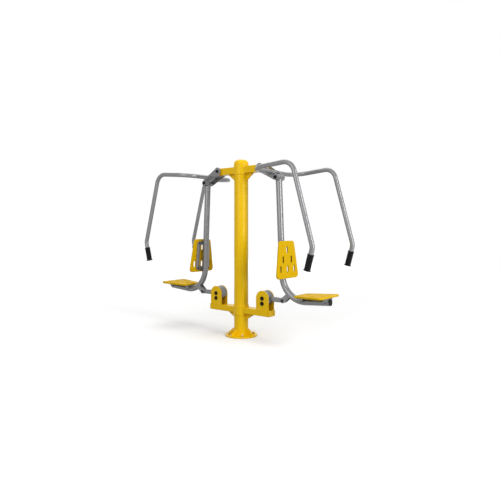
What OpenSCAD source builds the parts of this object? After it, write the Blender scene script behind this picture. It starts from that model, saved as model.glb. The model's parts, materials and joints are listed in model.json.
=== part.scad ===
// Outdoor push chair trainer: one post with two seats, left and right.
// Pushing the two grips outwards lifts the seat that the user sits on.
// Origin: the post's axis where the base flange meets the ground. +Z is up,
// the right station is on +X, and the side nearest the photographer is -Y.

/* [Post and base] */
// Outer diameter of the post
post_d = 140; // [125:1:155]
// Wall of the post
post_wall = 5; // [3:0.5:8]
// Diameter of the base flange
flange_d = 316; // [300:2:360]
// Thickness of the base flange
flange_t = 14; // [10:1:20]
// Pitch circle of the four anchor bolts
anchor_pcd = 248; // [240:2:260]
// Diameter of each anchor hole
anchor_hole_d = 18; // [16:0.5:20]
// Height of the triangular ribs on the flange
rib_h = 64; // [40:2:100]
// How far a rib reaches from the post's axis
rib_reach = 150; // [135:1:155]
// Thickness of ribs and gussets
rib_t = 9; // [6:1:12]

/* [Sleeves, crossarms and gussets] */
// Wall of the two sleeves round the post
sleeve_wall = 6; // [3:0.5:16]
// Length of each sleeve
sleeve_h = 98; // [94:1:110]
// How far the head's sleeve reaches below the crossarms
head_sleeve_drop = 10; // [5:1:20]
// How far the middle of the crossarms lies below the lever pivots
arm_drop = 5; // [0:0.5:6]
// Height of a crossarm's section
arm_h = 70; // [60:1:80]
// Width of a crossarm's section
arm_w = 76; // [60:1:84]
// Wall of the crossarms and of the carrier beam
box_wall = 4; // [3:0.5:6]
// How far a head gusset reaches from the post's axis
head_gusset_reach = 161; // [120:1:190]
// How far a head gusset reaches below the crossarm
head_gusset_drop = 72; // [40:1:120]
// Height of the dome above the post tube
dome_h = 52; // [46:1:70]
// Radius of the dome's rounded shoulder
dome_shoulder = 44; // [20:1:45]

/* [Carrier beam and link brackets] */
// Height of the middle of the carrier beam
beam_z = 258; // [250:1:280]
// Height of the beam's section
beam_h = 58; // [50:1:70]
// Width of the beam's section
beam_w = 100; // [98:1:110]
// How far the beam reaches past a bracket plate
beam_over = 2.3; // [1:0.1:50]
// Thickness of the beam's end covers
beam_cover_t = 8; // [4:1:12]
// Radius of the long edges of the beam and the crossarms
box_edge_r = 6; // [4:1:12]
// How far a beam gusset reaches from the post's axis
beam_gusset_reach = 173; // [120:1:200]
// How far a beam gusset reaches below the beam
beam_gusset_drop = 64; // [40:1:90]
// Height of the link pivots above the top of the beam
link_rise = 111.2; // [105:0.1:123]
// Radius of a bracket plate's round top
bracket_r = 73; // [72:0.5:80]
// Thickness of a bracket plate
bracket_t = 8; // [5:1:10]
// Distance between the outer faces of a pair of bracket plates
bracket_w = 96; // [92:1:98]
// How far the stop bolt lies below the link pivot
stop_drop = 49; // [44:0.5:50]
// Diameter of the stop bolt
stop_d = 16; // [12:1:18]

/* [Pivots] */
// Diameter of the pivot axles
axle_d = 25; // [20:1:28]
// Outer diameter of the pivot bushes
bush_d = 34; // [32:1:40]
// Length of a bush inside its housing
bush_len = 25; // [15:1:30]
// Diameter of a bush's flange
bush_flange_d = 48; // [44:1:54]
// Thickness of a bush's flange
bush_flange_t = 3; // [2:0.5:4]
// Radial running clearance of an axle in its bushes
run_gap = 0.05; // [0.03:0.01:0.08]
// Side clearance beside each moving part
side_gap = 0.5; // [0.3:0.1:1]
// Outer diameter of the crossarm's pivot housing
housing_d = 70; // [62:1:74]
// Diameter of the caps on the lever's axles
lever_cap_d = 32; // [30:1:36]
// Diameter of the caps on the link brackets
bracket_cap_d = 40; // [34:1:44]
// Height of a cap
cap_h = 9; // [7:0.5:12]
// How far an axle stands out of the plates into its cap
axle_proud = 4; // [2:0.5:5]

/* [Lever and handles] */
// Distance of the lever pivots from the post's axis
lever_pivot_x = 269; // [262:1:275]
// Distance from the lever pivot to the seat's pivot
lever_len = 214.6; // [205:0.1:225]
// Angle of the lever below level, at rest
lever_angle = 29.9; // [26:0.1:34]
// Thickness of a lever plate
lever_t = 10; // [6:1:12]
// Distance between the inner faces of the lever plates
lever_gap = 100; // [96:1:110]
// Radius of the lever plates at the crossarm
lever_r1 = 40; // [34:1:44]
// Radius of the lever plates at the seat
lever_r2 = 28; // [24:1:33]
// Outer diameter of the handle tube
handle_d = 42.4; // [38:0.1:46]
// Wall of the handle tube
handle_wall = 3; // [2:0.25:5]
// Distance of the handle's cross tube from the lever pivot
cross_out = 124; // [115:1:135]
// How far the cross tube lies below the lever pivot
cross_drop = 55; // [50:1:65]
// Half of the distance between the two arms of a handle
handle_half = 352; // [300:1:400]
// Length of a handle's upper arm, corner to corner
upper_arm = 437; // [400:1:480]
// Angle of the upper arm above level
upper_rise = 4.9; // [0:0.1:10]
// Length of a handle's long arm, corner to corner
long_arm = 741; // [600:1:820]
// Angle between the upper arm and the long arm's direction
corner_turn = 79.3; // [70:0.1:90]
// Length of the arm that carries the grip, from its corner
grip_arm = 192; // [180:1:240]
// Turn of the grip's arm towards the user
elbow_turn = 31; // [10:0.5:40]
// Radius of the bend beside the lever
inner_bend = 150; // [100:1:180]
// Radius of the bend at the top corner
corner_bend = 110; // [80:1:140]
// Radius of the elbow bend
elbow_bend = 90; // [70:1:140]
// Length of a rubber grip
grip_len = 138; // [110:1:150]
// Outer diameter of a grip
grip_d = 53; // [46:1:58]
// Diameter of the flange at a grip's end
grip_flange_d = 64; // [60:1:68]

/* [Seat hanger] */
// Outer diameter of the seat tube
seat_tube_d = 60.3; // [56:0.1:64]
// Wall of the seat tube
seat_tube_wall = 3.5; // [2.5:0.25:6]
// Angle of the hanging tube from upright
hang_lean = 2.42; // [1:0.01:3]
// Length of the hanging tube, from its pivot to its corner
hang_len = 1149.7; // [1120:0.1:1170]
// Radius of the bend under the backrest
seat_bend = 235; // [200:1:260]
// Length of the tube under the seat, from its corner
leg_len = 489; // [470:1:510]
// Angle of the tube under the seat above level
leg_rise = 4.4; // [1:0.1:6]
// Thickness of the seat and backrest plates
plate_t = 19; // [12:1:22]
// Height of the backrest and length of the seat
plate_len = 345; // [320:1:360]
// Width of a plate at its narrow end
plate_narrow = 232; // [220:1:250]
// Width of a plate at its wide end
plate_wide = 355; // [330:1:380]
// Radius of a plate's corners
plate_corner = 36; // [20:1:45]
// Length of the drain slots
slot_len = 62; // [40:1:70]
// Width of the drain slots
slot_w = 24; // [16:1:28]
// Distance between rows of slots
slot_pitch = 88; // [80:1:95]
// Distance of the middle row's slots from the middle of the plate
slot_mid = 66; // [60:1:72]
// Distance of the wide row's slots from the middle of the plate
slot_out = 108; // [100:1:116]
// Height of the backrest's middle above the tube's corner, along the tube
back_rise = 386.7; // [360:0.1:410]
// Distance from the hanging tube's axis to the back of the backrest plate
back_off = 47; // [46:1:56]
// Depth of the backrest's frame
frame_t = 14; // [10:1:15]
// Width of the backrest frame's bars
frame_bar = 38; // [30:1:42]
// Half of the backrest frame's width at its middle
frame_mid = 92; // [86:1:94]
// Distance of the backrest frame's cross rails from its middle
back_rail = 133; // [128:1:138]
// Length of the seat plate
seat_len = 312; // [300:1:330]
// Distance of the seat's middle from the tube's end, along the tube
seat_inset = 146; // [139:1:154]
// Height of the seat plate's underside above the tube's axis
seat_off = 41; // [40:0.5:48]
// Tilt of the seat plate above level
seat_tilt = 2.6; // [1:0.1:5]
// Distance of each cross bar under the seat from the seat's middle
bar_out = 122; // [110:1:124]
// Width of a cross bar, along the tube
bar_w = 40; // [30:1:50]
// Height of a cross bar
bar_h = 35; // [28:1:38]
// Half of a cross bar's length
bar_half = 52; // [50:1:90]
// Distance of the seat's bolts from its middle line
bolt_side = 41; // [39:0.5:43]
// Diameter of the heads of the bolts that hold the plates
bolt_head_d = 16; // [12:1:20]
// Diameter of those bolts
bolt_d = 8; // [6:1:10]

/* [Link] */
// Outer diameter of the link's hub
hub_d = 140; // [130:1:142]
// Distance from the link pivot to the seat's lower pivot
link_len = 214.8; // [205:0.1:225]
// Angle of the link below level, at rest
link_angle = 0.96; // [0:0.01:3]
// How far the link's eye lies outwards of the seat tube's corner
eye_out = 5.89; // [4:0.01:8]
// Height of the link's eye above the seat tube's corner
eye_rise = 8.25; // [2:0.01:12]
// Height of the link's arm at the hub
link_h1 = 48; // [40:1:56]
// Height of the link's arm at its eye
link_h2 = 38; // [32:1:42]
// Width of the link's arm
link_w = 36; // [28:1:38]
// Width of the link's eye
eye_w = 40; // [36:1:42]
// Outer diameter of the link's eye
eye_d = 46; // [42:1:50]
// Diameter of the bolt through the eye
lug_bolt_d = 16; // [14:1:18]
// Radial play of the eye on its bolt
eye_play = 3; // [2.8:0.1:3.4]
// Thickness of a lug plate on the seat tube
lug_t = 8; // [5:0.5:8.5]
// Largest lift of the lever from rest, in degrees
lift = 28; // [20:1:28]

/* [Hidden] */
$fn = 96;
link_ratio = 0.947;
post_r = post_d / 2;
sleeve_r = post_r + sleeve_wall;
bush_r = bush_d / 2;
axle_r = axle_d / 2;
seat_tube_r = seat_tube_d / 2;
handle_r = handle_d / 2;
// Through cuts run this far past the faces they cut
cut = 1;
// Overlap of a straight tube with a bend, and the bend's extra radius there
lap = 1;
swell = 0.1;
// Anchor nut and washer, for a 16 mm stud
nut_flats = 24;
nut_h = 14;
nut_dome_r = 10.5;
stud_gap_r = 8.6;
washer_d = 34;
washer_t = 3;
// The dome's wall and the spigot that holds it in the post
dome_wall = 4;
dome_step = 3;
spigot_h = 20;
spigot_gap = 0.3;
// Half widths across the machine, from the middle out
lever_in = lever_gap / 2;
lever_out = lever_in + lever_t;
bush_out = lever_in - side_gap;
housing_half = bush_out - bush_flange_t;
bracket_out = bracket_w / 2;
bracket_in = bracket_out - bracket_t;
link_bush_out = bracket_in - side_gap;
hub_half = link_bush_out - bush_flange_t;
lug_in = eye_w / 2 + side_gap;
lug_out = lug_in + lug_t;
// Wall of an end plug's skirt and its depth
plug_t = 6;
plug_skirt = 22;
plug_wall = 3;
// Hub of the link: rim, web and boss
hub_rim = 8;
hub_web = 20;
hub_boss_wall = 9;
slot_gap = 0.5;
// Heads of the lug bolt and of the plate bolts
lug_head_d = 26;
lug_head_t = 7;
bolt_head_t = 3.5;
bolt_nut_t = 6;
// Grip
grip_wall_end = 5;
grip_flange_t = 6;
// Corners of the backrest's frame, outside and inside, and its share of the plate's taper
frame_corner = 22.8;
frame_inner_r = 9.5;
frame_taper = 0.15;

// Pivot points of the right station, in the XZ plane, from the ground up: the link's pivot
// stands on the beam, the seat tube's corner lies under the link's eye, and the lever pivot
// is as high as the hanging tube and the lever reach
beam_top = beam_z + beam_h / 2;
beam_bottom = beam_z - beam_h / 2;
link_pivot_z = beam_top + link_rise;
seat_corner = [
    lever_pivot_x + lever_len * cos(lever_angle) + hang_len * sin(hang_lean),
    link_pivot_z - link_len * sin(link_angle) - eye_rise
];
p4 = seat_corner + [eye_out, eye_rise];
pb = p4 - link_len * [cos(link_angle), -sin(link_angle)];
p2 = seat_corner - hang_len * [sin(hang_lean), -cos(hang_lean)];
p1 = p2 - lever_len * [cos(lever_angle), -sin(lever_angle)];
cross = p1 + [cross_out, -cross_drop];
beam_half = pb[0] + bracket_r + beam_over;

// Sleeves: the lower one is centred on the beam, and the post ends with the head's
beam_sleeve_z = beam_z - sleeve_h / 2;
arm_z = p1[1] - arm_drop;
arm_bottom = arm_z - arm_h / 2;
head_sleeve_z = arm_bottom - head_sleeve_drop;
post_top = head_sleeve_z + sleeve_h;

// Places of the backrest and the seat on their tube, from its upper pivot and its corner
back_drop = hang_len - back_rise;
seat_out = leg_len - seat_inset;

// Lengths of the seat tube between its bends
seat_turn = 90 - hang_lean + leg_rise;
seat_tangent = seat_bend * tan(seat_turn / 2);
seat_steps = [
    [hang_len - seat_tangent, seat_bend, seat_turn, 0],
    [leg_len - seat_tangent, 0, 0, 0]
];
// Middle of the seat tube's bend, where the lug plates hold on
bend_mid = seat_corner + (seat_bend / cos(seat_turn / 2) - seat_bend)
    * [sin(seat_turn / 2 + hang_lean), cos(seat_turn / 2 + hang_lean)];

// Half of a handle: cross tube, upper arm, long arm and grip arm
corner_tangent = corner_bend * tan(corner_turn / 2);
elbow_tangent = elbow_bend * tan(elbow_turn / 2);
handle_steps = [
    [handle_half - inner_bend, inner_bend, 90, 0],
    [upper_arm - inner_bend - corner_tangent, corner_bend, corner_turn, 90],
    [long_arm - corner_tangent - elbow_tangent, elbow_bend, elbow_turn, 0],
    [grip_arm - elbow_tangent, 0, 0, 0]
];

SIDES = ["left", "right"];

// Paint and moulding colours
module yellow_paint() { color([0.93, 0.72, 0.05]) children(); }
module silver_paint() { color([0.66, 0.67, 0.68]) children(); }
module black_rubber() { color([0.10, 0.10, 0.11]) children(); }
module bush_plastic() { color([0.85, 0.84, 0.78]) children(); }
module zinc() { color([0.75, 0.76, 0.78]) children(); }

// The right station as drawn, or its mirror image for the left
module on_side(side) {
    mirror([side == "left" ? 1 : 0, 0, 0]) children();
}

// Both stations
module both_sides() {
    for (side = SIDES) on_side(side) children();
}

// The piece as drawn on the -Y side, and its twin on the +Y side
module both_faces() {
    children();
    mirror([0, 1, 0]) children();
}

// Puts what is drawn round the origin at a pivot point of the XZ plane
module at_point(p) {
    translate([p[0], 0, p[1]]) children();
}

// Round bar along Y, from y0 to y1
module bar_y(d, y0, y1) {
    translate([0, y1, 0]) rotate([90, 0, 0]) cylinder(d = d, h = y1 - y0);
}

// Flat plate drawn in the XZ plane, from y0 to y1
module plate_y(y0, y1) {
    translate([0, y1, 0]) rotate([90, 0, 0]) linear_extrude(y1 - y0) children();
}

// Tube that follows steps of [straight, bend radius, turn, roll], from the origin along +Z.
// It is solid where the wall is as thick as the radius. The straight runs reach a little way
// into the bends, which are drawn thicker by a hair, so that no two surfaces only touch.
module bent_tube(steps, r, wall, i = 0) {
    if (i < len(steps)) {
        s = steps[i];
        start = i > 0 ? -lap : 0;
        end = s[2] > 0 ? lap : 0;
        if (s[0] > 0) translate([0, 0, start]) linear_extrude(s[0] - start + end) ring_2d(r, wall);
        if (s[2] > 0)
            translate([0, 0, s[0]]) rotate([0, 0, s[3]])
                translate([s[1], 0, 0]) rotate([90, 0, 180])
                    rotate_extrude(angle = s[2]) translate([s[1], 0])
                        ring_2d(r + swell, wall + 2 * swell);
        after_step(s) bent_tube(steps, r, wall, i + 1);
    }
}

// Section of a tube, or a full circle where the wall is as thick as the radius
module ring_2d(r, wall) {
    difference() {
        circle(r = r);
        if (wall < r) circle(r = r - wall);
    }
}

// Moves what follows to the far end of one step
module after_step(s) {
    translate([0, 0, s[0]]) rotate([0, 0, s[3]])
        translate([s[1] * (1 - cos(s[2])), 0, s[1] * sin(s[2])]) rotate([0, s[2], 0]) children();
}

// Moves what follows to the far end of all steps
module after_steps(steps, i = 0) {
    if (i < len(steps)) after_step(steps[i]) after_steps(steps, i + 1) children();
    else children();
}

// Rectangle with rounded corners, centred on the origin
module rounded_box_2d(w, h, r) {
    square([w - 2 * r, h], center = true);
    square([w, h - 2 * r], center = true);
    for (x = [-1, 1], y = [-1, 1]) translate([x * (w / 2 - r), y * (h / 2 - r)]) circle(r = r);
}

// Two circles and their outer tangents: radius ra at the origin, rb at distance l along +X.
// The circles stand out of the tangents by a hair, so that the edges cross and don't only touch.
module tapered_bar_2d(l, ra, rb) {
    k = (ra - rb) / l;
    c = sqrt(1 - k * k);
    circle(r = ra + swell);
    translate([l, 0]) circle(r = rb + swell);
    polygon([[ra * k, ra * c], [ra * k, -ra * c], [l + rb * k, -rb * c], [l + rb * k, rb * c]]);
}

// Outward normal of the edge from a to b of an outline drawn anticlockwise
function edge_normal(a, b) = [b[1] - a[1], a[0] - b[0]] / norm(b - a);

// Outline with round corners: circles at the corner points, joined by their tangents
module rounded_outline(pts, r) {
    n = len(pts);
    polygon([for (i = [0:n - 1]) each [
        pts[i] + r * edge_normal(pts[(i + n - 1) % n], pts[i]),
        pts[i] + r * edge_normal(pts[i], pts[(i + 1) % n])
    ]]);
    for (p = pts) translate(p) circle(r = r);
}

// Upright slot with round ends, centred on the origin
module slot_2d(w, l) {
    square([w, l - w], center = true);
    for (y = [-1, 1]) translate([0, y * (l - w) / 2]) circle(d = w);
}

// Seat or backrest plate in the XY plane, narrow end up, with its 1-2-3 pattern of slots
module user_plate_2d(l) {
    row = slot_pitch * l / plate_len;
    difference() {
        rounded_outline([
            [-plate_wide / 2 + plate_corner, -l / 2 + plate_corner],
            [plate_wide / 2 - plate_corner, -l / 2 + plate_corner],
            [plate_narrow / 2 - plate_corner, l / 2 - plate_corner],
            [-plate_narrow / 2 + plate_corner, l / 2 - plate_corner]
        ], plate_corner);
        translate([0, row]) slot_2d(slot_w, slot_len);
        for (x = [-1, 1]) translate([x * slot_mid, 0]) slot_2d(slot_w, slot_len);
        for (x = [-1, 0, 1]) translate([x * slot_out, -row]) slot_2d(slot_w, slot_len);
    }
}

// Half width of the backrest frame at height z above its middle
function frame_half(z) = frame_mid - z * frame_taper * (plate_wide - plate_narrow) / 2 / plate_len;

// Places of the bolts on the backrest, as [across, up]
function back_bolts() = [
    for (s = [-1, 1], t = [-1, 1]) [s * (frame_half(t * back_rail) - frame_bar / 2), t * back_rail]
];

// Round cap with a dished top, its open side on the XZ plane, standing out towards -Y
module round_cap(d, bore) {
    bevel = d / 10;
    rotate([90, 0, 0]) difference() {
        union() {
            cylinder(d = d, h = cap_h - bevel);
            translate([0, 0, cap_h - bevel]) cylinder(d1 = d, d2 = d - 2 * bevel, h = bevel);
        }
        translate([0, 0, -cut]) cylinder(d = bore, h = axle_proud + cut);
    }
}

// Flanged bush on the +Y side, for a housing of half width h
module flanged_bush(h) {
    difference() {
        union() {
            bar_y(bush_d, h - bush_len, h);
            bar_y(bush_flange_d, h, h + bush_flange_t);
        }
        bar_y(axle_d + 2 * run_gap, h - bush_len - cut, h + bush_flange_t + cut);
    }
}

// Triangular gusset in the XZ plane under a beam's underside at height z
module gusset(reach, z, drop, sleeve_end) {
    difference() {
        plate_y(-rib_t / 2, rib_t / 2)
            polygon([[0, z - drop], [post_r + rib_t / 2, z - drop], [reach, z], [0, z]]);
        translate([0, 0, z - drop - cut]) cylinder(r = post_r, h = drop + 2 * cut);
        translate([0, 0, sleeve_end]) cylinder(r = sleeve_r, h = sleeve_h);
    }
}

// Hollow box section along +X from the post's sleeve to x1, centred on height z
module box_section(x1, z, w, h) {
    translate([0, 0, z]) rotate([90, 0, 90]) linear_extrude(x1) difference() {
        rounded_box_2d(w, h, box_edge_r);
        rounded_box_2d(w - 2 * box_wall, h - 2 * box_wall, box_edge_r - box_wall / 2);
    }
}

// The post and its base

module base_flange() {
    yellow_paint() difference() {
        cylinder(d = flange_d, h = flange_t);
        for (a = [45:90:315]) rotate(a) translate([anchor_pcd / 2, 0, -cut])
            cylinder(d = anchor_hole_d, h = flange_t + 2 * cut);
    }
}

module base_ribs() {
    nose = rib_t;
    yellow_paint() difference() {
        for (a = [0:90:270]) rotate(a) translate([0, 0, flange_t]) plate_y(-rib_t / 2, rib_t / 2)
            polygon([[0, 0], [rib_reach, 0], [rib_reach, nose], [post_r + nose, rib_h], [0, rib_h]]);
        translate([0, 0, flange_t - cut]) cylinder(r = post_r, h = rib_h + 2 * cut);
    }
}

module at_anchors() {
    for (a = [45:90:315]) rotate(a) translate([anchor_pcd / 2, 0, flange_t]) children();
}

module anchor_washers() {
    zinc() at_anchors() difference() {
        cylinder(d = washer_d, h = washer_t);
        translate([0, 0, -cut]) cylinder(d = anchor_hole_d, h = washer_t + 2 * cut);
    }
}

module anchor_nuts() {
    zinc() at_anchors() translate([0, 0, washer_t]) difference() {
        union() {
            cylinder(d = nut_flats / cos(30), h = nut_h, $fn = 6);
            translate([0, 0, nut_h]) intersection() {
                sphere(r = nut_dome_r);
                cylinder(r = nut_dome_r, h = nut_dome_r);
            }
        }
        translate([0, 0, -cut]) cylinder(r = stud_gap_r, h = nut_h + cut);
    }
}

module post_tube() {
    yellow_paint() translate([0, 0, flange_t]) difference() {
        cylinder(r = post_r, h = post_top - flange_t);
        translate([0, 0, -cut]) cylinder(r = post_r - post_wall, h = post_top - flange_t + 2 * cut);
    }
}

// Half outline of a dome of radius r and height h, with a rounded shoulder
module dome_2d(r, h, shoulder) {
    square([r - shoulder, h]);
    square([r, h - shoulder]);
    translate([r - shoulder, h - shoulder]) intersection() {
        circle(r = shoulder);
        square(shoulder);
    }
}

module top_cap() {
    dome_r = sleeve_r - dome_step;
    in_r = post_r - post_wall - spigot_gap;
    yellow_paint() translate([0, 0, post_top]) rotate_extrude() {
        difference() {
            dome_2d(dome_r, dome_h, dome_shoulder);
            dome_2d(in_r - dome_wall, dome_h - dome_wall, dome_shoulder - dome_wall);
        }
        translate([in_r - dome_wall, -spigot_h]) square([dome_wall, spigot_h + cut]);
    }
}

module sleeve(z) {
    translate([0, 0, z]) difference() {
        cylinder(r = sleeve_r, h = sleeve_h);
        translate([0, 0, -cut]) cylinder(r = post_r, h = sleeve_h + 2 * cut);
    }
}

module head_sleeve() {
    yellow_paint() sleeve(head_sleeve_z);
}

module crossarm() {
    yellow_paint() difference() {
        box_section(p1[0], arm_z, arm_w, arm_h);
        translate([0, 0, head_sleeve_z]) cylinder(r = sleeve_r, h = sleeve_h);
        at_point(p1) bar_y(housing_d, -arm_w, arm_w);
    }
}

module head_gussets() {
    yellow_paint() both_sides() gusset(head_gusset_reach, arm_bottom, head_gusset_drop, head_sleeve_z);
}

module pivot_housings() {
    yellow_paint() both_sides() at_point(p1) difference() {
        bar_y(housing_d, -housing_half, housing_half);
        bar_y(bush_d, -housing_half - cut, housing_half + cut);
    }
}

module head_bushes() {
    bush_plastic() both_sides() at_point(p1) both_faces() flanged_bush(housing_half);
}

module beam_sleeve() {
    yellow_paint() sleeve(beam_sleeve_z);
}

module beam() {
    yellow_paint() difference() {
        box_section(beam_half, beam_z, beam_w, beam_h);
        translate([0, 0, beam_sleeve_z]) cylinder(r = sleeve_r, h = sleeve_h);
    }
}

module beam_covers() {
    yellow_paint() both_sides() translate([beam_half, 0, beam_z]) rotate([90, 0, 90])
        linear_extrude(beam_cover_t) rounded_box_2d(beam_w, beam_h, box_edge_r);
}

module beam_gussets() {
    yellow_paint() both_sides()
        gusset(beam_gusset_reach, beam_bottom, beam_gusset_drop, beam_sleeve_z);
}

module bracket_plates() {
    yellow_paint() both_faces() at_point(pb) difference() {
        plate_y(-bracket_out, -bracket_in) {
            circle(r = bracket_r);
            translate([-bracket_r, -link_rise]) square([2 * bracket_r, link_rise]);
        }
        bar_y(axle_d, -bracket_out - cut, -bracket_in + cut);
        translate([0, 0, -stop_drop]) bar_y(stop_d, -bracket_out - cut, -bracket_in + cut);
    }
}

module link_axles() {
    zinc() both_sides() at_point(pb) bar_y(axle_d, -bracket_out - axle_proud, bracket_out + axle_proud);
}

module stop_bolts() {
    zinc() both_sides() at_point(pb - [0, stop_drop])
        bar_y(stop_d, -bracket_out - axle_proud, bracket_out + axle_proud);
}

module bracket_caps() {
    black_rubber() both_sides() both_faces() translate([0, -bracket_out, 0]) {
        at_point(pb) round_cap(bracket_cap_d, axle_d);
        at_point(pb - [0, stop_drop]) round_cap(bracket_cap_d, stop_d);
    }
}

// The lever and its handle

module lever_plates() {
    silver_paint() both_faces() difference() {
        at_point(p1) rotate([0, lever_angle, 0]) plate_y(-lever_out, -lever_in)
            tapered_bar_2d(lever_len, lever_r1, lever_r2);
        for (p = [p1, p2]) at_point(p) bar_y(axle_d, -lever_out - cut, -lever_in + cut);
        at_point(cross) bar_y(handle_d, -lever_out - cut, -lever_in + cut);
    }
}

// Starts half of a handle at the middle of its cross tube, towards +Y
module from_cross() {
    at_point(cross) rotate([0, -upper_rise, 0]) rotate([-90, 0, 0]) children();
}

module handle() {
    level = handle_steps[0][0];
    arm_steps = concat([[0, inner_bend, 90, 0]], [for (i = [1:3]) handle_steps[i]]);
    silver_paint() {
        both_faces() from_cross() translate([0, 0, level]) bent_tube(arm_steps, handle_r, handle_wall);
        at_point(cross) rotate([90, 0, 0]) translate([0, 0, -level - lap])
            linear_extrude(2 * (level + lap)) ring_2d(handle_r, handle_wall);
    }
}

module grips() {
    black_rubber() both_faces() from_cross() after_steps(handle_steps) difference() {
        union() {
            translate([0, 0, grip_wall_end - grip_len]) cylinder(d = grip_d, h = grip_len);
            translate([0, 0, grip_wall_end - grip_flange_t])
                cylinder(d = grip_flange_d, h = grip_flange_t);
        }
        translate([0, 0, -grip_len]) cylinder(r = handle_r, h = grip_len);
    }
}

module lever_axles() {
    zinc() for (p = [p1, p2]) at_point(p) bar_y(axle_d, -lever_out - axle_proud, lever_out + axle_proud);
}

module lever_caps() {
    black_rubber() both_faces() translate([0, -lever_out, 0])
        for (p = [p1, p2]) at_point(p) round_cap(lever_cap_d, axle_d);
}

// The seat that hangs from the lever

// Along the hanging tube: d below the pivot, X outwards from the post and Z up the tube
module on_hanger(d) {
    at_point(p2) rotate([0, -hang_lean, 0]) translate([0, 0, -d]) children();
}

// Along the tube under the seat: d from its corner, X outwards and Z up
module on_leg(d) {
    at_point(seat_corner) rotate([0, -leg_rise, 0]) translate([d, 0, 0]) children();
}

// In the seat plate's own tilt, with Z zero at its underside
module on_seat() {
    on_leg(seat_out) translate([0, 0, seat_off]) rotate([0, leg_rise - seat_tilt, 0]) children();
}

module on_seat_tube() {
    at_point(p2) rotate([0, -hang_lean, 0]) rotate([180, 0, 0]) children();
}

// Round space that the seat tube takes up
module seat_tube_space() {
    on_seat_tube() bent_tube(seat_steps, seat_tube_r, seat_tube_r);
}

module seat_hub() {
    silver_paint() at_point(p2) difference() {
        bar_y(seat_tube_d, -housing_half, housing_half);
        bar_y(bush_d, -housing_half - cut, housing_half + cut);
    }
}

module seat_bushes() {
    bush_plastic() at_point(p2) both_faces() flanged_bush(housing_half);
}

module seat_tube() {
    silver_paint() difference() {
        on_seat_tube() bent_tube(seat_steps, seat_tube_r, seat_tube_wall);
        at_point(p2) bar_y(seat_tube_d, -seat_tube_d, seat_tube_d);
    }
}

module tube_plug() {
    skirt_r = seat_tube_r - seat_tube_wall - spigot_gap;
    black_rubber() on_leg(leg_len) rotate([0, 90, 0]) {
        cylinder(r = seat_tube_r, h = plug_t);
        translate([0, 0, -plug_skirt]) difference() {
            cylinder(r = skirt_r, h = plug_skirt + cut);
            translate([0, 0, -cut]) cylinder(r = skirt_r - plug_wall, h = plug_skirt + cut);
        }
    }
}

// The plates end square in the tube, whose round they are cut to
module lug_plates() {
    reach = bend_mid - p4;
    lug_r = eye_d / 2;
    silver_paint() both_faces() difference() {
        at_point(p4) rotate([0, -atan2(reach[1], reach[0]), 0]) plate_y(-lug_out, -lug_in) {
            circle(r = lug_r);
            translate([0, -lug_r]) square([norm(reach), 2 * lug_r]);
        }
        seat_tube_space();
        at_point(p4) bar_y(lug_bolt_d, -lug_out - cut, -lug_in + cut);
    }
}

module lug_bolt() {
    black_rubber() at_point(p4) {
        bar_y(lug_bolt_d, -lug_out, lug_out);
        both_faces() bar_y(lug_head_d, lug_out, lug_out + lug_head_t);
    }
}

// Backrest frame seen from its front: a closed loop that narrows upwards
module backrest_frame() {
    end = back_rail + frame_bar / 2;
    corner = frame_corner;
    inner = frame_bar + frame_inner_r;
    bottom = frame_half(-end);
    top = frame_half(end);
    silver_paint() {
        on_hanger(back_drop) translate([back_off, 0, 0]) rotate([90, 0, -90])
            linear_extrude(frame_t) difference() {
                rounded_outline([
                    [-bottom + corner, -end + corner], [bottom - corner, -end + corner],
                    [top - corner, end - corner], [-top + corner, end - corner]
                ], corner);
                rounded_outline([
                    [-bottom + inner, -end + inner], [bottom - inner, -end + inner],
                    [top - inner, end - inner], [-top + inner, end - inner]
                ], frame_inner_r);
                for (b = back_bolts()) translate(b) circle(d = bolt_d);
            }
        difference() {
            on_hanger(back_drop) for (z = [-back_rail, back_rail])
                translate([0, -frame_bar / 2, z - frame_bar / 2])
                    cube([back_off - frame_t, frame_bar, frame_bar]);
            seat_tube_space();
        }
    }
}

module backrest() {
    yellow_paint() on_hanger(back_drop) translate([back_off, 0, 0]) rotate([90, 0, 90])
        linear_extrude(plate_t) difference() {
            user_plate_2d(plate_len);
            for (b = back_bolts()) translate(b) circle(d = bolt_d);
        }
}

// Places of the bolts on the seat, as [along, across]
function seat_bolts() = [for (x = [-1, 1], y = [-1, 1]) [x * bar_out, y * bolt_side]];

module seat_bars() {
    silver_paint() difference() {
        on_seat() for (x = [-bar_out, bar_out])
            translate([x - bar_w / 2, -bar_half, -bar_h]) cube([bar_w, 2 * bar_half, bar_h]);
        seat_tube_space();
        on_seat() for (b = seat_bolts()) translate([b[0], b[1], -bar_h - cut])
            cylinder(d = bolt_d, h = bar_h + 2 * cut);
    }
}

module seat_plate() {
    yellow_paint() on_seat() difference() {
        rotate(90) linear_extrude(plate_t) user_plate_2d(seat_len);
        for (b = seat_bolts()) translate([b[0], b[1], -cut]) cylinder(d = bolt_d, h = plate_t + 2 * cut);
    }
}

// Bolt along +Z with its head on top of a stack of height h, and a nut under it
module plate_bolt(h) {
    cylinder(d = bolt_d, h = h);
    translate([0, 0, h]) cylinder(d = bolt_head_d, h = bolt_head_t);
    translate([0, 0, -bolt_nut_t]) cylinder(d = bolt_head_d, h = bolt_nut_t, $fn = 6);
}

module plate_bolts() {
    black_rubber() {
        on_hanger(back_drop) translate([back_off - frame_t, 0, 0]) rotate([90, 0, 90])
            for (b = back_bolts()) translate(b) plate_bolt(frame_t + plate_t);
        on_seat() for (b = seat_bolts()) translate([b[0], b[1], -bar_h]) plate_bolt(bar_h + plate_t);
    }
}

// The link that guides the seat

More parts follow.
